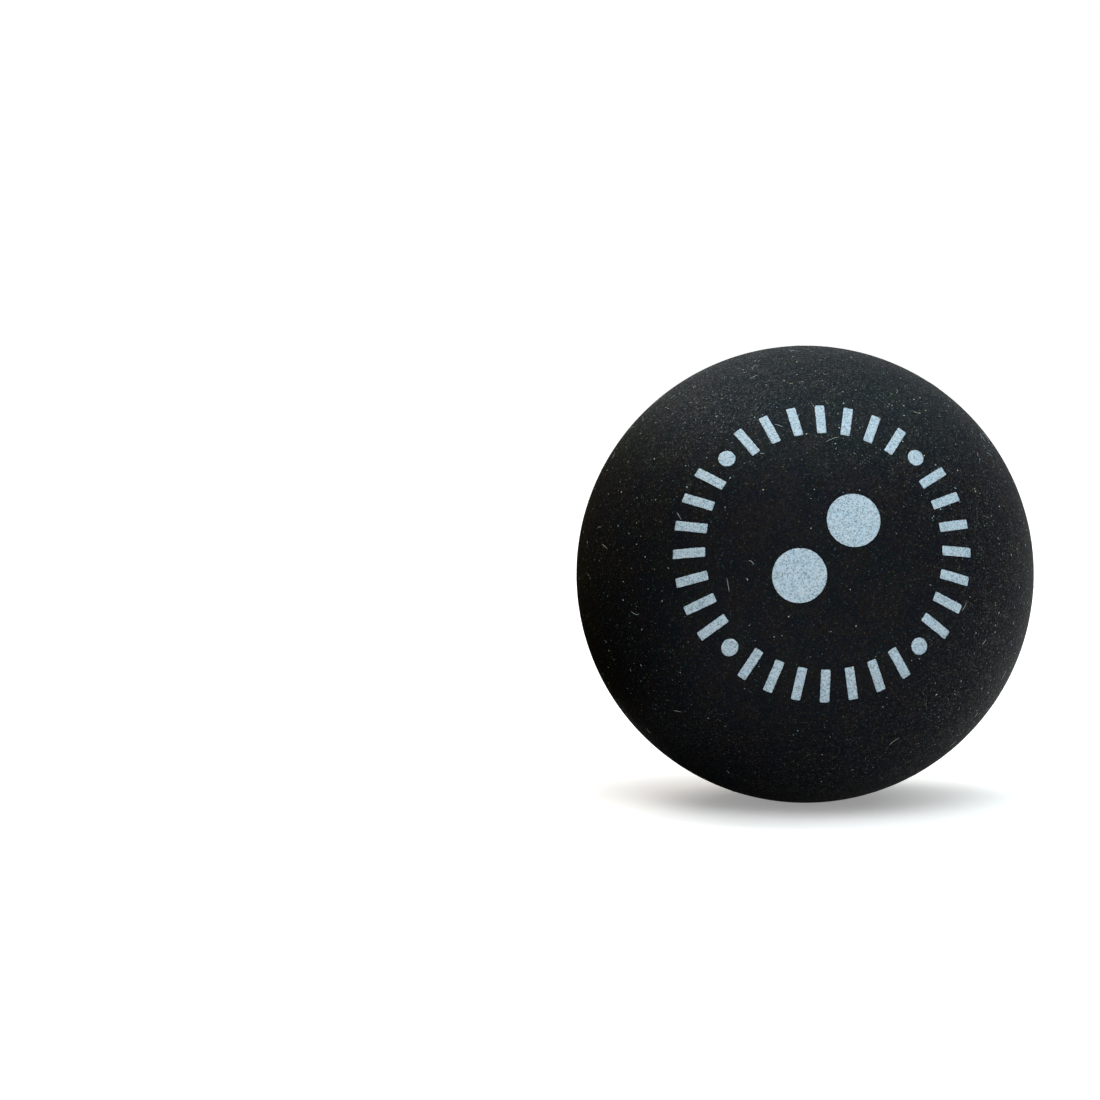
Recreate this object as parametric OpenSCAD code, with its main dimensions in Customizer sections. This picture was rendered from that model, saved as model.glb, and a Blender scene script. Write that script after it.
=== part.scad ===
// Squash ball: two moulded rubber half shells, the cured bond that joins their rims round an
// air chamber, and a film of ink printed on the front.
//
// The origin is the centre of the ball. The seam lies in the plane of X and Z, so its axis is Y.
// The front half shell is on the -Y side and carries the print. +Z is up.

/* [Ball] */
// Outside diameter of the ball
ball_d = 40; // [39:0.1:45]
// Thickness of the rubber wall
wall_t = 5.2; // [4:0.1:6.5]

/* [Rims] */
// Depth of the bevel round the outside of each rim, measured across the land
outer_bevel_d = 0.25; // [0.15:0.05:0.6]
// Height of the outer bevel above the land
outer_bevel_h = 0.1; // [0.05:0.05:0.4]
// Depth of the bevel round the inside of each rim, measured across the land
inner_bevel_d = 0.6; // [0.3:0.05:1]
// Height of the inner bevel above the land
inner_bevel_h = 0.5; // [0.2:0.05:0.8]

/* [Bond] */
// Thickness of the cured bond between the two lands
bond_t = 0.2; // [0.1:0.05:0.6]
// How far the bond stays below the surface of the ball
bond_sink = 0.05; // [0.02:0.01:0.1]
// Height of the bead that squeezes out into the chamber
bead_h = 0.45; // [0.2:0.05:0.8]
// How far the bead laps over the chamber wall on each side of the joint
bead_lap = 0.4; // [0.2:0.05:1]

/* [Print] */
// Turn of the print to the right of the front, in degrees
print_turn = 5.5; // [-20:0.5:20]
// Lift of the print above the level of the centre, in degrees
print_lift = 12.5; // [0:0.5:25]
// Thickness of the ink
ink_t = 0.04; // [0.02:0.01:0.1]
// Diameter of the circle through the middle of the bars
ring_d = 22.8; // [18:0.2:26]
// Arcs of bars in the ring, with a point between each two
ring_arcs = 4; // [2:1:5]
// Bars in each arc
arc_bars = 7; // [3:1:8]
// Length of a bar
bar_l = 2.6; // [1:0.1:4]
// Width of a bar
bar_w = 0.8; // [0.4:0.1:1.1]
// Diameter of a point
point_d = 1.4; // [0.6:0.1:2]
// Diameter of each of the two discs in the middle
disc_d = 4.6; // [2:0.1:5]
// Distance between the middles of the two discs
disc_pitch = 6.6; // [5.4:0.1:8]
// Turn of the pair of discs from level, in degrees
disc_turn = 45; // [0:5:90]

/* [Hidden] */
$fn = 180;

rubber_colour = "#26292c";
bond_colour = "#17191b";
ink_colour = "#b6c6d0";

ball_r = ball_d / 2;
chamber_r = ball_r - wall_t;

// Each land stands half the bond's thickness off the seam's plane
land_y = bond_t / 2;

// The bevels are drawn this many times their depth, to pass the surface of the wall
groove_run_share = 2;

// The bead is an arc over the mouth of the inner groove and its laps on the wall
bead_half_w = land_y + inner_bevel_h + bead_lap;
bead_r = (bead_h * bead_h + bead_half_w * bead_half_w) / (2 * bead_h);

ink_r = ball_r + ink_t;
ring_places = ring_arcs * (arc_bars + 1);
place_turn = 360 / ring_places;
arc_turn = 360 / ring_arcs;

// Sections: x is the distance from the seam's axis, y the distance from the seam's plane

// The space between the two rims: a thin gap between the lands, which opens at the bevels into a
// groove on the outside of the wall and another on the inside
module joint_section() {
    outer_land_r = ball_r - outer_bevel_d;
    inner_land_r = chamber_r + inner_bevel_d;
    outer_mouth_r = outer_land_r + groove_run_share * outer_bevel_d;
    inner_mouth_r = inner_land_r - groove_run_share * inner_bevel_d;
    outer_mouth_y = land_y + groove_run_share * outer_bevel_h;
    inner_mouth_y = land_y + groove_run_share * inner_bevel_h;
    polygon([
        [outer_mouth_r, -outer_mouth_y],
        [outer_mouth_r, outer_mouth_y],
        [outer_land_r, land_y],
        [inner_land_r, land_y],
        [inner_mouth_r, inner_mouth_y],
        [inner_mouth_r, -inner_mouth_y],
        [inner_land_r, -land_y],
        [outer_land_r, -land_y]
    ]);
}

module half_shell_section() {
    difference() {
        intersection() {
            circle(r = ball_r);
            square(ball_r);
        }
        circle(r = chamber_r);
        joint_section();
    }
}

module bead_section() {
    intersection() {
        circle(r = chamber_r);
        translate([chamber_r - bead_h + bead_r, 0]) circle(r = bead_r);
    }
}

module bond_section() {
    intersection() {
        circle(r = ball_r - bond_sink);
        union() {
            difference() {
                joint_section();
                circle(r = chamber_r);
            }
            bead_section();
        }
    }
}

// Rubber

module half_shell() {
    rotate_extrude() half_shell_section();
}

module front_half_shell() {
    color(rubber_colour) rotate([90, 0, 0]) half_shell();
}

module rear_half_shell() {
    color(rubber_colour) rotate([-90, 0, 0]) half_shell();
}

module seam_bond() {
    color(bond_colour) rotate([90, 0, 0]) rotate_extrude() bond_section();
}

// Ink: flat artwork, x to the right and y up, pressed straight on to the ball

module printed() {
    color(ink_colour) intersection() {
        difference() {
            sphere(r = ink_r);
            sphere(r = ball_r);
        }
        rotate([90 - print_lift, 0, print_turn]) linear_extrude(height = ball_d) children();
    }
}

module print_bars() {
    printed() {
        for (arc = [0 : ring_arcs - 1], bar = [1 : arc_bars]) {
            rotate(arc_turn * (arc + 1 / 2) + place_turn * bar)
                translate([ring_d / 2, 0]) square([bar_l, bar_w], center = true);
        }
    }
}

module print_points() {
    printed() {
        for (arc = [0 : ring_arcs - 1]) {
            rotate(arc_turn * (arc + 1 / 2)) translate([ring_d / 2, 0]) circle(d = point_d);
        }
    }
}

module print_discs() {
    printed() {
        for (side = [-1, 1]) {
            rotate(disc_turn) translate([side * disc_pitch / 2, 0]) circle(d = disc_d);
        }
    }
}

front_half_shell();
rear_half_shell();
seam_bond();
print_bars();
print_points();
print_discs();
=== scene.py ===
import math

import bpy
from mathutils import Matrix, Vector


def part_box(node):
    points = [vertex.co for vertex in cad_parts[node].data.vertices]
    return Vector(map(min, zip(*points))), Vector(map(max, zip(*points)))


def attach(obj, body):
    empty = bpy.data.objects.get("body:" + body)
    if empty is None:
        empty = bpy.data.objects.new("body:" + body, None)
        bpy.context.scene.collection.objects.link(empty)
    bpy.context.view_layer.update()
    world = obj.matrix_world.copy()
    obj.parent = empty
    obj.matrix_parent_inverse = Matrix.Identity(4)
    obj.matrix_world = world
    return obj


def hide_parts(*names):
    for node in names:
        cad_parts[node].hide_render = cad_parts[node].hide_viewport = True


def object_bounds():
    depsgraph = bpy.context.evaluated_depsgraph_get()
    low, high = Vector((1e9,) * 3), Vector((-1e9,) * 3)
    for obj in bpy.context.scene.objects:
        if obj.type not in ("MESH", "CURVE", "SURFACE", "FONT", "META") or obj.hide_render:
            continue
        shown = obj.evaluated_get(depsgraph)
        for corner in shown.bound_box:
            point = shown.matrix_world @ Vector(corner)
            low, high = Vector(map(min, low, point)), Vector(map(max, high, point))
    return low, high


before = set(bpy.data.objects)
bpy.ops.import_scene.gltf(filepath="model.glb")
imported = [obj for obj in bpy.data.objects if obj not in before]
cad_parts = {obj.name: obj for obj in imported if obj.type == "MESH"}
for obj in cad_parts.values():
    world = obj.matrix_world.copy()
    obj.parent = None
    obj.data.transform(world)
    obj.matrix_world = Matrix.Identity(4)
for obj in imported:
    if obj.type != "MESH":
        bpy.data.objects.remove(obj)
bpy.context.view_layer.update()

# A squash ball: two buffed rubber half shells, the cured bond in the joint between their rims, a pad
# print on the front, and the lint and dust that cling to the rubber. Lengths are in metres. The front
# faces -Y, and the seam lies in the plane of X and Z.

MM = 0.001
BALL_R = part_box("rear_half_shell")[1].y
WALL_T = 5.2 * MM
CHAMBER_R = BALL_R - WALL_T

# The skin lies a little inside the moulded size, so that its relief, the ink and the lint stay within it
SKIN_DEPTH = 0.04 * MM
SKIN_R = BALL_R - SKIN_DEPTH
LUMP_D = 2.4 * MM
GRAIN_D = 0.8 * MM
GRAIN_H = 0.011 * MM

# Where the smoother skin round the print starts and is at its full, on a scale from 0 at the outline to
# 1 where the skin faces straight to the front, and the share of its grit that it keeps
SMOOTH_START = 0.62
SMOOTH_FULL = 0.96
SMOOTH_GRIT = 0.45

# The rims, as they are moulded, and the bond between them
LAND_Y = 0.1 * MM
OUTER_BEVEL_D = 0.25 * MM
OUTER_BEVEL_H = 0.1 * MM
INNER_BEVEL_D = 0.6 * MM
INNER_BEVEL_H = 0.5 * MM
OUTER_LAND_R = BALL_R - OUTER_BEVEL_D
INNER_LAND_R = CHAMBER_R + INNER_BEVEL_D
GROOVE_D = 0.05 * MM
BOND_R = SKIN_R - GROOVE_D
BOND_WAVE_D = 1.5 * MM
BOND_WAVE_H = 0.03 * MM
BOND_MERGE_D = 0.002 * MM
BEAD_H = 0.45 * MM
BEAD_LAP = 0.4 * MM

# The print, as flat artwork that is pressed on to the ball
PRINT_RISE = math.radians(12.5)
PRINT_TURN = math.radians(5.5)
INK_T = 0.03 * MM
RAGGED_D = 0.22 * MM
RAGGED_H = 0.09 * MM
RING_R = 11.4 * MM
RING_ARCS = 4
ARC_BARS = 7
BAR_L = 2.6 * MM
BAR_W = 0.8 * MM
BAR_CORNER_SHARE = 0.12
POINT_D = 1.4 * MM
DISCS = 2
DISC_D = 4.6 * MM
DISC_PITCH = 6.6 * MM
DISC_TURN = math.radians(45)

# How finely each piece is meshed
SHELL_CELLS = 180
SHELL_ROWS = 4
BOND_CELLS = 721
BAR_CELLS = (40, 13)
POINT_CELLS = (21, 21)
DISC_CELLS = (61, 61)
SPREAD_DETAIL = 5
LINT_POINTS = 7
LINT_SIDES = 4
DUST_DETAIL = 1

# Lint and dust: their share at mid height, the gain up to the top, and the share lost round the print
FLUFF_MEAN = 0.6
FLUFF_RISE = 0.42
FLUFF_LOST = 0.75


# Node trees

def usable(sockets, key):
    """The socket of that name or place among those that the node's settings leave in use."""
    shown = [s for s in sockets if s.enabled]
    return shown[key] if isinstance(key, int) else next(s for s in shown if s.name == key)


class Wire:
    """An output socket. A Python sum on it adds the Math nodes that work it out, or Vector Math nodes
    where it carries a vector."""

    def __init__(self, nodes, socket):
        self.nodes, self.socket = nodes, socket

    def output(self, name):
        return Wire(self.nodes, usable(self.socket.node.outputs, name))

    def is_vector(self):
        return self.socket.type == "VECTOR"

    def math(self, operation, *others):
        kind = "ShaderNodeVectorMath" if self.is_vector() else "ShaderNodeMath"
        return self.nodes.add(kind, {"operation": operation}, dict(enumerate((self, *others))))

    def __add__(self, other):
        return self.math("ADD", other)

    def __sub__(self, other):
        return self.math("SUBTRACT", other)

    def __mul__(self, other):
        vector = isinstance(other, tuple) or isinstance(other, Wire) and other.is_vector()
        if vector and not self.is_vector():
            return other * self
        return self.math("MULTIPLY" if vector == self.is_vector() else "SCALE", other)

    def __truediv__(self, other):
        return self.math("DIVIDE", other)

    def __pow__(self, other):
        return self.math("POWER", other)

    def __gt__(self, other):
        return self.math("GREATER_THAN", other)

    def __lt__(self, other):
        return self.math("LESS_THAN", other)

    def __rsub__(self, other):
        return self * -1 + other

    __radd__ = __add__
    __rmul__ = __mul__

    def step(self, start, end):
        """0 before start, 1 after end, and a smooth rise between them. Start may be the higher."""
        return self.nodes.add("ShaderNodeMapRange", {"interpolation_type": "SMOOTHSTEP"},
                              {"Value": self, "From Min": start, "From Max": end})

    def span(self, low, high):
        """Low where this is 0 and high where it is 1."""
        return self * (high - low) + low

    def parts(self):
        """The three numbers of a vector or a colour."""
        kind = "ShaderNodeSeparateXYZ" if self.is_vector() else "ShaderNodeSeparateColor"
        first = self.nodes.add(kind, {}, {0: self})
        return [Wire(self.nodes, socket) for socket in first.socket.node.outputs]


class Nodes:
    """A node tree under construction."""

    def __init__(self, tree):
        self.tree = tree

    def add(self, kind, settings, inputs, out=0):
        """A node of that kind, with its settings made first and then its inputs set or linked."""
        node = self.tree.nodes.new(kind)
        for name, value in settings.items():
            if name == "choices":
                for _ in range(value - len(node.index_switch_items)):
                    node.index_switch_items.new()
            else:
                setattr(node, name, value)
        for key, value in inputs.items():
            socket = usable(node.inputs, key)
            if isinstance(value, Wire):
                self.tree.links.new(value.socket, socket)
            elif socket.type == "RGBA":
                socket.default_value = (*value, 1)
            else:
                socket.default_value = value
        return Wire(self, usable(node.outputs, out)) if node.outputs else None

    def vector(self, x, y, z):
        return self.add("ShaderNodeCombineXYZ", {}, {0: x, 1: y, 2: z})

    def noise(self, place, rate, detail, out="Fac"):
        """Soft random patches, so many to a unit of place, with finer ones in them."""
        return self.add("ShaderNodeTexNoise", {}, {"Vector": place, "Scale": rate, "Detail": detail}, out)

    def cells(self, place, rate, out="Color"):
        """A random colour for each cell of a pattern of cells, so many to a unit of place."""
        return self.add("ShaderNodeTexVoronoi", {"feature": "F1"}, {"Vector": place, "Scale": rate}, out)

    def mix(self, share, first, second):
        return self.add("ShaderNodeMix", {"data_type": "RGBA"}, {"Factor": share, "A": first, "B": second})

    def choose(self, index, values):
        """The value at that place in the list."""
        return self.add("GeometryNodeIndexSwitch", {"data_type": "FLOAT", "choices": len(values)},
                        {0: index, **{k + 1: v for k, v in enumerate(values)}})

    def random(self, low, high, seed):
        """A number for each element, drawn with that seed."""
        return self.add("FunctionNodeRandomValue", {"data_type": "FLOAT"},
                        {"Min": low, "Max": high, "Seed": seed})


# Geometry trees

SOCKETS = {int: "NodeSocketInt", float: "NodeSocketFloat", bpy.types.Material: "NodeSocketMaterial"}


def geometry_tree(name, sizes, build):
    """A tree that build() fills in. It has one named input for each size, and ends in plain faces of one
    material."""
    tree = bpy.data.node_groups.new(name, "GeometryNodeTree")
    for label, value in sizes.items():
        tree.interface.new_socket(label, in_out="INPUT", socket_type=SOCKETS[type(value)])
    tree.interface.new_socket("Mesh", in_out="OUTPUT", socket_type="NodeSocketGeometry")
    nodes = Nodes(tree)
    entry = nodes.add("NodeGroupInput", {}, {})
    made = build(nodes, {label: entry.output(label) for label in sizes})
    smooth = nodes.add("GeometryNodeSetShadeSmooth", {}, {0: made})
    real = nodes.add("GeometryNodeRealizeInstances", {}, {0: smooth})
    painted = nodes.add("GeometryNodeSetMaterial", {}, {0: real, "Material": entry.output("Material")})
    nodes.add("NodeGroupOutput", {}, {"Mesh": painted})
    return tree


def grown(name, tree, sizes):
    """The mesh that a tree makes of these sizes, as an object with no modifier left on it. Empty material
    slots and the values that only helped to lay things out are taken off."""
    piece = bpy.data.objects.new(name, bpy.data.meshes.new(name))
    bpy.context.scene.collection.objects.link(piece)
    shape = piece.modifiers.new("shape", "NODES")
    shape.node_group = tree
    for socket in tree.interface.items_tree:
        if socket.in_out == "INPUT":
            shape[socket.identifier] = sizes[socket.name]
    seen = bpy.context.evaluated_depsgraph_get()
    mesh = bpy.data.meshes.new_from_object(piece.evaluated_get(seen), preserve_all_data_layers=True,
                                           depsgraph=seen)
    piece.modifiers.remove(shape)
    while mesh.materials[0] is None:
        mesh.materials.pop(index=0)
    for label in [a.name for a in mesh.attributes if a.name == "id" or a.name.startswith("lay ")]:
        mesh.attributes.remove(mesh.attributes[label])
    mesh.name = name
    piece.data = mesh
    return piece


def position(nodes):
    return nodes.add("GeometryNodeInputPosition", {}, {})


def place_in_row(nodes):
    """The number of each element: 0, 1, 2 and so on."""
    return nodes.add("GeometryNodeInputIndex", {}, {})


def moved(nodes, geometry, place):
    return nodes.add("GeometryNodeSetPosition", {}, {0: geometry, "Position": place})


def set_out(nodes, spots, thing, **lay):
    """The thing at every spot, made real so that each of its points can be moved."""
    there = nodes.add("GeometryNodeInstanceOnPoints", {}, {"Points": spots, "Instance": thing, **lay})
    return nodes.add("GeometryNodeRealizeInstances", {}, {0: there})


def stored(nodes, geometry, name, value):
    """The geometry with a value kept on it under that name."""
    kind = "FLOAT_VECTOR" if value.is_vector() else "FLOAT"
    return nodes.add("GeometryNodeStoreNamedAttribute", {"data_type": kind},
                     {0: geometry, "Name": name, "Value": value})


def kept(nodes, name, kind="FLOAT"):
    return nodes.add("GeometryNodeInputNamedAttribute", {"data_type": kind}, {"Name": name})


def skin_height(nodes, direction, height):
    """How far the buffed skin stands over its mean radius, in a direction from the ball's centre. Its
    lumps stand a little higher than its grain."""
    lumps = nodes.noise(direction, BALL_R / LUMP_D, 1)
    grain = nodes.noise(direction, BALL_R / GRAIN_D, 1)
    return (lumps * 1.2 + grain * 0.8 - 1) * height


def front_share(y, radius):
    """1 round the print, where the skin faces the front, 0 at the outline and behind."""
    return (y / -radius).step(SMOOTH_START, SMOOTH_FULL)


def square_to_disc(x, y):
    """The direction of a point of a square from its middle, and its reach to the side as a radius."""
    reach = x.math("ABSOLUTE").math("MAXIMUM", y.math("ABSOLUTE"))
    above_zero = 1e-9
    length = (x * x + y * y).math("SQRT").math("MAXIMUM", above_zero)
    return x / length, y / length, reach


def half_shell(nodes, size):
    """A block whose top becomes the skin, its bottom the chamber wall and its sides the rim. Its four rows
    are the chamber wall, the inner and the outer edge of the land, and the skin."""
    block = nodes.add("GeometryNodeMeshCube", {}, {
        "Size": (2, 2, 2), "Vertices X": size["Cells"], "Vertices Y": size["Cells"],
        "Vertices Z": SHELL_ROWS})
    x, y, level = position(nodes).parts()
    across, along, reach = square_to_disc(x, y)
    row = ((level + 1) * ((SHELL_ROWS - 1) / 2)).math("ROUND")
    wall_polar = reach * math.acos((LAND_Y + INNER_BEVEL_H) / CHAMBER_R)
    skin_y = LAND_Y + OUTER_BEVEL_H * (SKIN_R - OUTER_LAND_R) / OUTER_BEVEL_D
    skin_polar = reach * math.acos(skin_y / SKIN_R)
    ring = nodes.choose(row, [wall_polar.math("SINE") * size["Chamber radius"], INNER_LAND_R,
                              OUTER_LAND_R, skin_polar.math("SINE") * size["Skin radius"]])
    height = nodes.choose(row, [wall_polar.math("COSINE") * size["Chamber radius"], LAND_Y,
                                LAND_Y, skin_polar.math("COSINE") * size["Skin radius"]])
    point = nodes.vector(across * ring, height * size["Side"], along * ring * size["Side"] * -1)
    direction = point.math("NORMALIZE")
    on_skin = row > SHELL_ROWS - 1.5
    grain = direction * (skin_height(nodes, direction, size["Grain height"]) * on_skin)
    return moved(nodes, block, point + grain)


def bond_section():
    """The bond's cross-section, as radius and height over the seam: its face, one side, the bead in the
    chamber, and the other side. The second value is how many points its face has."""
    half_w = LAND_Y + INNER_BEVEL_H + BEAD_LAP
    bead_r = (BEAD_H ** 2 + half_w ** 2) / (2 * BEAD_H)
    face_y = LAND_Y + OUTER_BEVEL_H * (BOND_R - OUTER_LAND_R) / OUTER_BEVEL_D
    face = [(BOND_R, face_y * share) for share in (-1, -0.5, 0, 0.5, 1)]
    side = [(OUTER_LAND_R, LAND_Y), (INNER_LAND_R, LAND_Y), (CHAMBER_R, LAND_Y + INNER_BEVEL_H)]
    bead = [(CHAMBER_R - BEAD_H + bead_r - math.sqrt(bead_r ** 2 - (half_w * share) ** 2), half_w * share)
            for share in (1, 0.75, 0.5, 0.25, 0, -0.25, -0.5, -0.75, -1)]
    return face + side + bead + [(r, -y) for r, y in reversed(side)] + face[:1], len(face)


def bond_ring(nodes, size):
    """A strip that runs round the ball and closes on itself both ways."""
    section, face_points = bond_section()
    last = len(section) - 1
    strip = nodes.add("GeometryNodeMeshGrid", {}, {
        "Size X": 1, "Size Y": 1, "Vertices X": size["Cells"], "Vertices Y": last + 1})
    u, v, _ = position(nodes).parts()
    turn = (u + 0.5) * math.tau
    row = ((v + 0.5) * last).math("ROUND")
    ring = nodes.choose(row, [r for r, _ in section])
    height = nodes.choose(row, [y for _, y in section])
    direction = nodes.vector(turn.math("SINE"), 0, turn.math("COSINE"))
    wave = (nodes.noise(direction, BALL_R / BOND_WAVE_D, 2) - 0.5) * size["Wave height"]
    on_face = (row < face_points - 0.5) + (row > last - 0.5)
    point = direction * (ring + wave * on_face) + nodes.vector(0, height, 0)
    return nodes.add("GeometryNodeMergeByDistance", {},
                     {0: moved(nodes, strip, point), "Distance": BOND_MERGE_D})


def motif(nodes, length, width, corner, cells):
    """A flat block with round corners. A corner of half the width makes a disc of a square."""
    block = nodes.add("GeometryNodeMeshCube", {}, {
        "Size": nodes.vector(length, width, 1), "Vertices X": cells[0], "Vertices Y": cells[1],
        "Vertices Z": 2})
    x, y, layer = position(nodes).parts()
    straight_x, straight_y = length * 0.5 - corner, width * 0.5 - corner
    far_x, far_y = x.math("ABSOLUTE"), y.math("ABSOLUTE")
    across, along, reach = square_to_disc((far_x - straight_x).math("MAXIMUM", 0),
                                          (far_y - straight_y).math("MAXIMUM", 0))
    rounded = nodes.vector((far_x.math("MINIMUM", straight_x) + across * reach) * x.math("SIGN"),
                           (far_y.math("MINIMUM", straight_y) + along * reach) * y.math("SIGN"),
                           layer)
    return moved(nodes, block, rounded)


def placed(nodes, flat, count, turn, radius):
    """The motif, set out at count places: each is turned by its own angle and moved out by the radius."""
    spots = nodes.add("GeometryNodePoints", {}, {
        "Count": count,
        "Position": nodes.vector(turn.math("COSINE") * radius, turn.math("SINE") * radius, 0)})
    return set_out(nodes, spots, flat, Rotation=nodes.vector(0, 0, turn))


def pressed(nodes, flat, size):
    """Flat artwork, pressed on to the skin. Its edges are a little ragged, and it has the ink's
    thickness."""
    x, y, layer = position(nodes).parts()
    ragged = nodes.add("ShaderNodeVectorMath", {"operation": "SUBTRACT"}, {
        0: nodes.noise(nodes.vector(x, y, 0), 1 / RAGGED_D, 2, "Color"), 1: (0.5, 0.5, 0.5)})
    shift_x, shift_y, _ = (ragged * size["Ragged edge"]).parts()
    x, y = x + shift_x, y + shift_y
    out = (SKIN_R ** 2 - x * x - y * y).math("SQRT")
    tilt = (math.radians(90) - PRINT_RISE, 0, PRINT_TURN)
    direction = nodes.add("ShaderNodeVectorRotate", {"rotation_type": "EULER_XYZ"}, {
        "Vector": nodes.vector(x, y, out), "Rotation": tilt}).math("NORMALIZE")
    radius = skin_height(nodes, direction, size["Grain height"]) + layer * size["Ink thickness"] + SKIN_R
    return moved(nodes, flat, direction * radius)


def print_bars(nodes, size):
    place = place_in_row(nodes)
    arc = (place / ARC_BARS).math("FLOOR")
    arc_turn = math.tau / RING_ARCS
    turn = (arc + 0.5) * arc_turn + (place - arc * ARC_BARS + 1) * (arc_turn / (ARC_BARS + 1))
    wide = size["Bar width"]
    bar = motif(nodes, size["Bar length"], wide, wide * BAR_CORNER_SHARE, BAR_CELLS)
    return pressed(nodes, placed(nodes, bar, RING_ARCS * ARC_BARS, turn, size["Ring radius"]), size)


def print_points(nodes, size):
    wide = size["Point diameter"]
    point = motif(nodes, wide, wide, wide * 0.5, POINT_CELLS)
    turn = (place_in_row(nodes) + 0.5) * (math.tau / RING_ARCS)
    return pressed(nodes, placed(nodes, point, RING_ARCS, turn, size["Ring radius"]), size)


def print_discs(nodes, size):
    wide = size["Disc diameter"]
    disc = motif(nodes, wide, wide, wide * 0.5, DISC_CELLS)
    turn = place_in_row(nodes) * (math.tau / DISCS) + DISC_TURN
    return pressed(nodes, placed(nodes, disc, DISCS, turn, size["Pitch"] * 0.5), size)


def strewn(nodes, size, thing):
    """The thing at random spots on one half of the skin, made real, with each spot's direction, lay,
    length, curl and tint kept on it. Most are short, most lie on the upper side, and few round the
    print."""
    ball = nodes.add("GeometryNodeMeshIcoSphere", {}, {"Radius": SKIN_R, "Subdivisions": SPREAD_DETAIL})
    _, y, z = position(nodes).parts()
    share = (z * (FLUFF_RISE / SKIN_R) + FLUFF_MEAN) * (1 - front_share(y, SKIN_R) * FLUFF_LOST)
    spots = nodes.add("GeometryNodeDistributePointsOnFaces", {}, {
        "Mesh": ball, "Selection": y * size["Side"] > 0,
        "Density": size["Per square metre"] * share, "Seed": size["Seed"]})
    direction = position(nodes).math("NORMALIZE")
    any_way = nodes.add("FunctionNodeRandomValue", {"data_type": "FLOAT_VECTOR"},
                        {"Min": (-1, -1, -1), "Max": (1, 1, 1), "Seed": size["Seed"]})
    spots = stored(nodes, spots, "lay direction", direction)
    spots = stored(nodes, spots, "lay along", direction.math("CROSS_PRODUCT", any_way).math("NORMALIZE"))
    grade = nodes.random(0, 1, size["Seed"] + 1)
    spots = stored(nodes, spots, "lay length",
                   size["Least"] + (size["Most"] - size["Least"]) * grade * grade * grade)
    spots = stored(nodes, spots, "lay curl", nodes.random(-1, 1, size["Seed"] + 2))
    spots = stored(nodes, spots, "tint", nodes.random(0, 1, size["Seed"] + 3))
    return set_out(nodes, spots, thing)


def laid(nodes, along_by, across_by, up_by):
    """A point beside its spot, laid over the curve of the skin and lifted by up_by."""
    direction = kept(nodes, "lay direction", "FLOAT_VECTOR")
    along = kept(nodes, "lay along", "FLOAT_VECTOR")
    across = direction.math("CROSS_PRODUCT", along)
    over = (direction * SKIN_R + along * along_by + across * across_by).math("NORMALIZE")
    return over * (skin_height(nodes, over, GRAIN_H) + SKIN_R + up_by)


def lint(nodes, size):
    """Short curled fibres, half sunk in the skin. Each is an arc with a hook at its end, thinner to both
    ends."""
    line = nodes.add("GeometryNodeMeshLine", {}, {"Count": LINT_POINTS, "Offset": (0, 0, 0)})
    line = stored(nodes, line, "lay share", place_in_row(nodes) / (LINT_POINTS - 1))
    lines = strewn(nodes, size, line)
    share, curl, length = kept(nodes, "lay share"), kept(nodes, "lay curl"), kept(nodes, "lay length")
    most_bend, off_zero = 3.2, 0.05
    rest_at, hook_at, hook_bend = 0.4, 0.6, 0.9
    bend = curl * most_bend + off_zero
    arc = (share - rest_at) * bend
    hook = (share - hook_at).math("MAXIMUM", 0) * curl * hook_bend
    place = laid(nodes, arc.math("SINE") / bend * length,
                 ((1 - arc.math("COSINE")) / bend - hook) * length, 0)
    threads = nodes.add("GeometryNodeMeshToCurve", {}, {0: moved(nodes, lines, place)})
    round_wire = nodes.add("GeometryNodeCurvePrimitiveCircle", {},
                           {"Resolution": LINT_SIDES, "Radius": size["Thickness"] * 0.5})
    taper = ((share * (1 - share) * 4) ** 0.4).span(0.35, 1.0)
    return nodes.add("GeometryNodeCurveToMesh", {}, {
        "Curve": threads, "Profile Curve": round_wire, "Scale": taper, "Fill Caps": True})


def dust(nodes, size):
    """Grains, flattened on the skin, some long and some wide."""
    grain = nodes.add("GeometryNodeMeshIcoSphere", {}, {"Radius": 1, "Subdivisions": DUST_DETAIL})
    grain = stored(nodes, grain, "lay local", position(nodes))
    grains = strewn(nodes, size, grain)
    along, across, up = kept(nodes, "lay local", "FLOAT_VECTOR").parts()
    half = kept(nodes, "lay length") * 0.5
    most_stretch = 0.4
    stretch = kept(nodes, "lay curl") * most_stretch + 1
    return moved(nodes, grains, laid(nodes, along * half * stretch, across * half / stretch,
                                     up * half * size["Flatness"]))


# Materials

# The rubber's black, which shifts in hue, the grain that lies over it, and a pale veil over the upper
# side, partly dust and partly painted sheen
BLUE_BLACK = (0.0004, 0.0021, 0.0088)
WARM_BLACK = (0.0080, 0.0044, 0.0012)
GREEN_BLACK = (0.0008, 0.0074, 0.0042)
BUFFED_GRAIN = (0.010, 0.014, 0.017)
DUST_AND_SHEEN_VEIL = (0.17, 0.27, 0.30)

# Specks of filler in the rubber, dim and bright
TEAL_SPECK = (0.016, 0.064, 0.080)
MOSS_SPECK = (0.036, 0.084, 0.038)
SAND_SPECK = (0.104, 0.072, 0.032)
PALE_TEAL_SPECK = (0.44, 0.66, 0.70)
PALE_SAND_SPECK = (0.72, 0.64, 0.46)

# The bond and the ink
BOND_DARK = (0.0025, 0.0028, 0.0032)
BOND_LIGHT = (0.0055, 0.0058, 0.0062)
INK_BLUE = (0.39, 0.55, 0.68)
INK_GREY = (0.56, 0.61, 0.63)
INK_THIN = (0.17, 0.24, 0.29)
INK_HOLE = (0.06, 0.09, 0.11)

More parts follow.
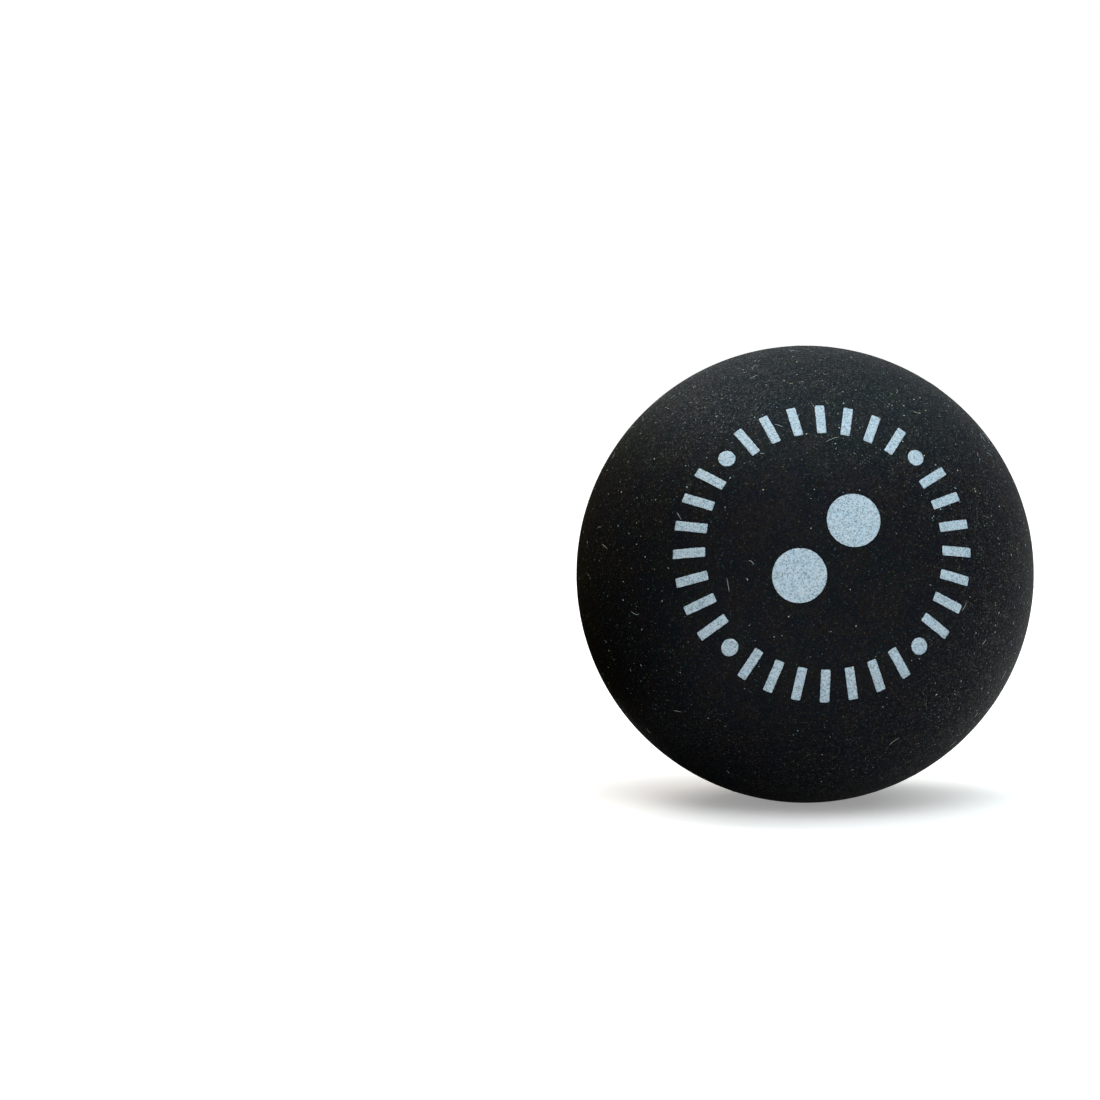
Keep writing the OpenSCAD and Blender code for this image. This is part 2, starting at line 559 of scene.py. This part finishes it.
# Lint and dust, each in a cool and a warm tint, and the grime in both
LINT_COOL = (0.38, 0.46, 0.48)
LINT_WARM = (0.48, 0.43, 0.30)
DUST_COOL = (0.40, 0.60, 0.66)
DUST_WARM = (0.68, 0.60, 0.42)
GRIME = (0.02, 0.022, 0.024)

# The veil of dust and painted sheen, which makes the top lighter and cooler: how many millimetres over the
# ball's centre it starts and is full, and its share there
VEIL_MM = (8, 16)
VEIL_SHARE = 0.022

# Patterns of specks: how many cells there are to a millimetre, the share of cells that have a speck, and
# the least and greatest diameter in millimetres
DIM_SPECKS = {"per_mm": 5.4, "share": 0.5, "least": 0.07, "most": 0.15}
BRIGHT_SPECKS = {"per_mm": 2.9, "share": 0.16, "least": 0.06, "most": 0.14}
INK_HOLES = {"per_mm": 4.4, "share": 0.45, "least": 0.08, "most": 0.17}


def material(name):
    made = bpy.data.materials.new(name)
    made.use_nodes = True
    made.node_tree.nodes.clear()
    return made, Nodes(made.node_tree)


def finished(nodes, shader):
    nodes.add("ShaderNodeOutputMaterial", {}, {"Surface": shader})


def object_place(nodes):
    return nodes.add("ShaderNodeTexCoord", {}, {}, "Object")


def object_mm(nodes):
    """The place on the object, in millimetres."""
    return object_place(nodes) * (1 / MM)


def bumped(nodes, strength, depth, height):
    return nodes.add("ShaderNodeBump", {}, {"Strength": strength, "Distance": depth, "Height": height})


def specks(nodes, mm, per_mm, share, least, most):
    """Round specks, soft at their edges: where they are, and a random grade and hue for each. The greater
    the grade, the greater the speck."""
    cells = nodes.cells(mm, per_mm, "Distance")
    pick, grade, hue = cells.output("Color").parts()
    edge = grade.span(least, most) * (per_mm / 2)
    return cells.step(edge, edge * 0.4) * (pick < share), grade, hue


def make_rubber():
    """Black rubber, buffed to a fine grain, full of small pale grains of filler. Round the print it is
    smoother, and a thin veil lies on its upper side, partly dust and partly painted sheen."""
    made, nodes = material("buffed_rubber")
    mm = object_mm(nodes)
    _, y, z = mm.parts()
    grit = front_share(y, SKIN_R / MM).span(1.0, SMOOTH_GRIT)

    # Patterns from wide to fine, by how many there are to a millimetre. Each starts from its own place,
    # so that they don't line up
    cloud = nodes.noise(mm, 0.3, 3)
    patch = nodes.noise(mm + (1.0, 4.0, 8.0), 0.45, 2)
    mottle = nodes.noise(mm + (2.0, 5.0, 1.0), 2.6, 2)
    grain = nodes.noise(mm, 8.0, 1)
    shine, tone, moss = nodes.cells(mm + (5.0, 2.0, 4.0), 9.0).parts()

    # The black and its buffed grain, under the veil of dust and painted sheen
    colour = nodes.mix(tone * 0.8 + patch.step(0.35, 0.65) * 0.2, BLUE_BLACK, WARM_BLACK)
    colour = nodes.mix(moss.step(0.5, 1.0) * cloud.step(0.35, 0.65).span(0.15, 0.85), colour, GREEN_BLACK)
    colour = nodes.mix(grain.step(0.5, 0.8) * 0.4 * grit, colour, BUFFED_GRAIN)
    # Painted sheen, partly dust: the upper side turns lighter and cooler
    colour = nodes.mix(z.step(*VEIL_MM) * VEIL_SHARE, colour, DUST_AND_SHEEN_VEIL)

    # Many dim specks and a few bright ones. Most of either are faint
    dim, grade, hue = specks(nodes, mm, **DIM_SPECKS)
    tint = nodes.mix(hue.step(0.15, 0.5), TEAL_SPECK, MOSS_SPECK)
    tint = nodes.mix(hue.step(0.62, 0.95), tint, SAND_SPECK)
    dim = dim * (grade * grade).span(0.1, 1.0) * cloud.span(0.1, 1.5) * grit
    colour = nodes.mix(dim, colour, tint)
    bright, grade, hue = specks(nodes, mm + (3.0, 1.0, 5.0), **BRIGHT_SPECKS)
    tint = nodes.mix(hue.step(0.6, 0.9), PALE_TEAL_SPECK, PALE_SAND_SPECK)
    bright = bright * (grade * grade * grade * grade).span(0.05, 1.0) * grit
    colour = nodes.mix(bright, colour, tint)

    # Some grains and all specks glint. Where the skin is smoother the glint is even, at the mean of the
    # grains' own
    mean_glint = 0.25
    glint = (shine * shine * shine - mean_glint) * grit + mean_glint
    polish = glint * patch.span(0.2, 0.6) + dim * 1.6 + bright
    finished(nodes, nodes.add("ShaderNodeBsdfPrincipled", {}, {
        "Base Color": colour, "Roughness": mottle.span(0.66, 0.76), "Specular IOR Level": 0.027,
        "Specular Tint": (0.55, 0.85, 1.0), "Coat Weight": polish, "Coat Roughness": 0.6,
        "Normal": bumped(nodes, 1.0, 0.03 * MM, (grain + mottle * 0.2) * grit)}))
    return made


def make_bond():
    """Cured rubber cement, dark and a little smoother than the shells."""
    made, nodes = material("cured_bond")
    grain = nodes.noise(object_mm(nodes), 2.5, 3)
    finished(nodes, nodes.add("ShaderNodeBsdfPrincipled", {}, {
        "Base Color": nodes.mix(grain, BOND_DARK, BOND_LIGHT), "Roughness": grain.span(0.55, 0.7),
        "Specular IOR Level": 0.1, "Normal": bumped(nodes, 0.4, 0.02 * MM, grain)}))
    return made


def make_ink():
    """Pale ink, thin in places, so that the rubber's grain and small holes show through it."""
    made, nodes = material("pad_print_ink")
    mm = object_mm(nodes)
    grain = nodes.noise(mm, 6.0, 1)
    thin = nodes.noise(mm, 1.1, 2)
    level, tone, _ = nodes.cells(mm, 10.5).parts()
    colour = nodes.mix(tone * 0.8 + thin * 0.6 - 0.2, INK_BLUE, INK_GREY)
    colour = nodes.mix(level * level * 1.1 + (0.42 - grain), colour, INK_THIN)
    holes, _, _ = specks(nodes, mm + (1.0, 7.0, 2.0), **INK_HOLES)
    colour = nodes.mix(holes * thin.step(0.3, 0.7).span(0.2, 0.8), colour, INK_HOLE)
    finished(nodes, nodes.add("ShaderNodeBsdfPrincipled", {}, {
        "Base Color": colour, "Roughness": grain.span(0.55, 0.65), "Specular IOR Level": 0.2,
        "Normal": bumped(nodes, 0.4, 0.015 * MM, grain)}))
    return made


def make_fluff(name, cool, warm):
    """Lint or dust, whose tint differs from one fibre or grain to the next."""
    made, nodes = material(name)
    tint = nodes.add("ShaderNodeAttribute", {"attribute_name": "tint"}, {}, "Fac")
    fleck = nodes.noise(object_mm(nodes), 6.0, 1)
    colour = nodes.mix(tint.step(0.55, 0.95), cool, warm)
    colour = nodes.mix(fleck * 0.5, colour, GRIME)
    finished(nodes, nodes.add("ShaderNodeBsdfPrincipled", {}, {
        "Base Color": colour, "Roughness": fleck.span(0.7, 0.8), "Specular IOR Level": 0.2}))
    return made


# The ball

def dress(piece, node=None):
    """Fixes a piece to the ball, and lets it stand for a node of the solids."""
    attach(piece, "root")
    if node:
        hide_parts(node)


def make_shells(rubber):
    sizes = {"Skin radius": SKIN_R, "Chamber radius": CHAMBER_R, "Grain height": GRAIN_H,
             "Cells": SHELL_CELLS, "Side": 1.0, "Material": rubber}
    tree = geometry_tree("half_shell", sizes, half_shell)
    for end, side in (("front", -1.0), ("rear", 1.0)):
        dress(grown(end + "_shell", tree, {**sizes, "Side": side}), end + "_half_shell")


def make_bond_ring(bond):
    sizes = {"Cells": BOND_CELLS, "Wave height": BOND_WAVE_H, "Material": bond}
    dress(grown("bond_ring", geometry_tree("bond_ring", sizes, bond_ring), sizes), "seam_bond")


def make_print(ink):
    common = {"Grain height": GRAIN_H, "Ink thickness": INK_T, "Ragged edge": RAGGED_H, "Material": ink}
    for name, build, own in (
            ("bars", print_bars, {"Bar length": BAR_L, "Bar width": BAR_W, "Ring radius": RING_R}),
            ("points", print_points, {"Point diameter": POINT_D, "Ring radius": RING_R}),
            ("discs", print_discs, {"Disc diameter": DISC_D, "Pitch": DISC_PITCH})):
        sizes = {**common, **own}
        dress(grown("ink_" + name, geometry_tree("ink_" + name, sizes, build), sizes),
              "print_" + name)


def make_lint_and_dust():
    lint_sizes = {"Side": 1.0, "Per square metre": 6.5e4, "Seed": 1, "Least": 0.25 * MM,
                  "Most": 1.3 * MM, "Thickness": 0.05 * MM,
                  "Material": make_fluff("lint", LINT_COOL, LINT_WARM)}
    dust_sizes = {"Side": 1.0, "Per square metre": 4.2e5, "Seed": 5, "Least": 0.05 * MM,
                  "Most": 0.17 * MM, "Flatness": 0.2,
                  "Material": make_fluff("dust", DUST_COOL, DUST_WARM)}
    for name, build, sizes in (("lint", lint, lint_sizes), ("dust", dust, dust_sizes)):
        tree = geometry_tree(name, sizes, build)
        for end, side, seed in (("front", -1.0, 11), ("rear", 1.0, 23)):
            dress(grown(end + "_" + name, tree, {**sizes, "Side": side, "Seed": sizes["Seed"] + seed}))


# The studio

PICTURE = 1100
BALL_IN_PICTURE = (804.8, 574.2)
LENS, SENSOR = 217.9, 36
CAMERA_DISTANCE = 582 * MM
CAMERA_RISE = math.radians(6)

BLACK = (0, 0, 0)
WHITE = (1, 1, 1)
FLOOR_WHITE = (0.825, 0.8, 0.787)
FLOOR_HALF = 5

# How the floor changes with the distance from the ball's centre: over the first span its own glow grows,
# so that the shadow is deepest under the ball, and over the last it turns to plain white
FLOOR_BRIGHTENS = (0.012, 0.034)
FLOOR_GLOW = (0.14, 0.62)
FLOOR_WHITENS = (0.12, 0.5)

# The cards' colours: black for painted shade in the ball's reflections, and amber for the glow that paints
# a warm reflection
CARD_BLACK = (0.004, 0.004, 0.004)
CARD_AMBER = (1.0, 0.66, 0.06)

LAMP_DISTANCE = 1.1


def make_camera():
    """A long lens, a little over the ball, turned so that the ball stands right of and below the middle
    of the picture."""
    data = bpy.data.cameras.new("camera")
    data.sensor_width, data.lens = SENSOR, LENS
    data.clip_start, data.clip_end = 0.01, 50
    camera = bpy.data.objects.new("camera", data)
    bpy.context.scene.collection.objects.link(camera)
    focal = LENS / SENSOR * PICTURE
    right = (BALL_IN_PICTURE[0] - PICTURE / 2) / focal
    up = (PICTURE / 2 - BALL_IN_PICTURE[1]) / focal
    pitch = (math.asin(-math.sin(CAMERA_RISE) * math.sqrt(1 + right ** 2 + up ** 2) / math.hypot(1, up))
             - math.atan(up))
    yaw = math.atan2(right, math.cos(pitch) - up * math.sin(pitch))
    camera.location = (0, -CAMERA_DISTANCE * math.cos(CAMERA_RISE),
                       CAMERA_DISTANCE * math.sin(CAMERA_RISE))
    camera.rotation_euler = (math.radians(90) + pitch, 0, yaw)
    bpy.context.scene.camera = camera


def plain_card(name, corners, finish):
    mesh = bpy.data.meshes.new(name)
    mesh.from_pydata(corners, [], [range(len(corners))])
    mesh.materials.append(finish)
    card = bpy.data.objects.new(name, mesh)
    bpy.context.scene.collection.objects.link(card)
    return card


def seen_white(nodes):
    """1 for what the camera sees, also in a reflection or through glass."""
    path = nodes.add("ShaderNodeLightPath", {}, {}, "Is Camera Ray")
    seen = path.math("MAXIMUM", path.output("Is Glossy Ray"))
    return seen.math("MAXIMUM", path.output("Is Transmission Ray"))


def matt(nodes, colour):
    return nodes.add("ShaderNodeBsdfPrincipled", {}, {
        "Base Color": colour, "Roughness": 1.0, "Specular IOR Level": 0.0})


def glow(nodes, colour):
    return nodes.add("ShaderNodeEmission", {}, {"Color": colour, "Strength": 1.0})


def make_floor():
    """A matt white floor that keeps the ball's shadow. Further out it turns to the plain white of the
    background."""
    made, nodes = material("studio_floor")
    away = object_place(nodes).math("LENGTH")
    lift = seen_white(nodes) * away.step(*FLOOR_BRIGHTENS).span(*FLOOR_GLOW)
    near = nodes.add("ShaderNodeAddShader", {}, {
        0: matt(nodes, FLOOR_WHITE), 1: glow(nodes, nodes.mix(lift, BLACK, WHITE))})
    finished(nodes, nodes.add("ShaderNodeMixShader", {}, {
        0: away.step(*FLOOR_WHITENS) * seen_white(nodes), 1: near, 2: glow(nodes, WHITE)}))
    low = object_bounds()[0].z
    plain_card("floor", [(x * FLOOR_HALF, y * FLOOR_HALF, low)
                         for x, y in ((-1, -1), (1, -1), (1, 1), (-1, 1))], made)


def make_dark_cards():
    """Cards that the camera doesn't see and that cast no shadow; they only shape the light on the ball. An
    amber one that glows stands against the ball's left side and paints a dark, warm reflection there, and
    a black foot under the ball and a wide black one far behind the camera paint shade into its
    reflections."""
    black, nodes = material("black_card")
    finished(nodes, matt(nodes, CARD_BLACK))

    # The foot card's painted shade is dense on the left and thin on the right, and fades away from the
    # ball
    fading, nodes = material("fading_black_card")
    place = object_place(nodes)
    across, _, _ = place.parts()
    dense = across.step(-0.016, 0.012).span(1.0, 0.3) * place.math("LENGTH").step(0.045, 0.022)
    clear = nodes.add("ShaderNodeBsdfTransparent", {}, {})
    finished(nodes, nodes.add("ShaderNodeMixShader", {}, {0: dense, 1: clear, 2: matt(nodes, CARD_BLACK)}))

    # The amber card glows more to its top; its glow paints a warm light and reflection on the ball's left
    # side
    amber, nodes = material("amber_card")
    _, _, height = object_place(nodes).parts()
    share = height.step(-0.008, 0.016).span(0.05, 0.18)
    finished(nodes, glow(nodes, nodes.mix(share, BLACK, CARD_AMBER)))

    side, foot, top, near, far = -0.0206, -0.0199, 0.0225, -0.022, 0.014
    reach = 0.05
    half_width, behind, high = 2, -1.7, 2.5
    left = plain_card("left_card", [(side, near, foot), (side, far, foot), (side, far, top),
                                    (side, near, top)], amber)
    under = plain_card("foot_card", [(side, -reach, foot), (reach, -reach, foot), (reach, reach, foot),
                                     (side, reach, foot)], fading)
    front = plain_card("front_card", [(-half_width, behind, foot), (half_width, behind, foot),
                                      (half_width, behind, high), (-half_width, behind, high)], black)
    for card in (left, under, front):
        card.visible_camera = card.visible_shadow = card.visible_transmission = False
        card.visible_diffuse = card == left


def make_world():
    """White to look at, and hardly any light of its own."""
    world = bpy.data.worlds.new("studio")
    world.use_nodes = True
    world.node_tree.nodes.clear()
    nodes = Nodes(world.node_tree)
    nodes.add("ShaderNodeOutputWorld", {}, {"Surface": nodes.add("ShaderNodeBackground", {}, {
        "Color": WHITE, "Strength": seen_white(nodes).span(0.05, 1.0)})})
    bpy.context.scene.world = world


def soft_lamp(name, azimuth, elevation, side, power, colour):
    """A square softbox that faces the ball: azimuth 0 is the camera's side, and 90 the right."""
    a, e = math.radians(azimuth), math.radians(elevation)
    place = Vector((math.sin(a) * math.cos(e), -math.cos(a) * math.cos(e), math.sin(e))) * LAMP_DISTANCE
    data = bpy.data.lights.new(name, "AREA")
    data.shape, data.size = "SQUARE", side
    data.energy, data.color = power, colour
    lamp = bpy.data.objects.new(name, data)
    lamp.location = place
    lamp.rotation_euler = (-place).to_track_quat("-Z", "Y").to_euler()
    lamp.visible_camera = False
    bpy.context.scene.collection.objects.link(lamp)


def make_lamps():
    soft_lamp("overhead_lamp", 180, 82, 0.9, 4.5, (0.84, 0.98, 1.03))
    soft_lamp("rear_left_lamp", 228, 52, 0.6, 5.4, (1.0, 0.95, 0.87))
    soft_lamp("right_lamp", 90, 50, 0.7, 3.3, (0.85, 1.0, 1.02))
    soft_lamp("high_front_lamp", 0, 50, 0.6, 5.9, (0.88, 0.98, 1.03))
    soft_lamp("front_lamp", 10, 25, 0.6, 2.3, (0.98, 0.97, 0.97))


bpy.context.scene.view_settings.view_transform = "Standard"
make_camera()
make_shells(make_rubber())
make_bond_ring(make_bond())
make_print(make_ink())
make_lint_and_dust()
make_floor()
make_dark_cards()
make_world()
make_lamps()
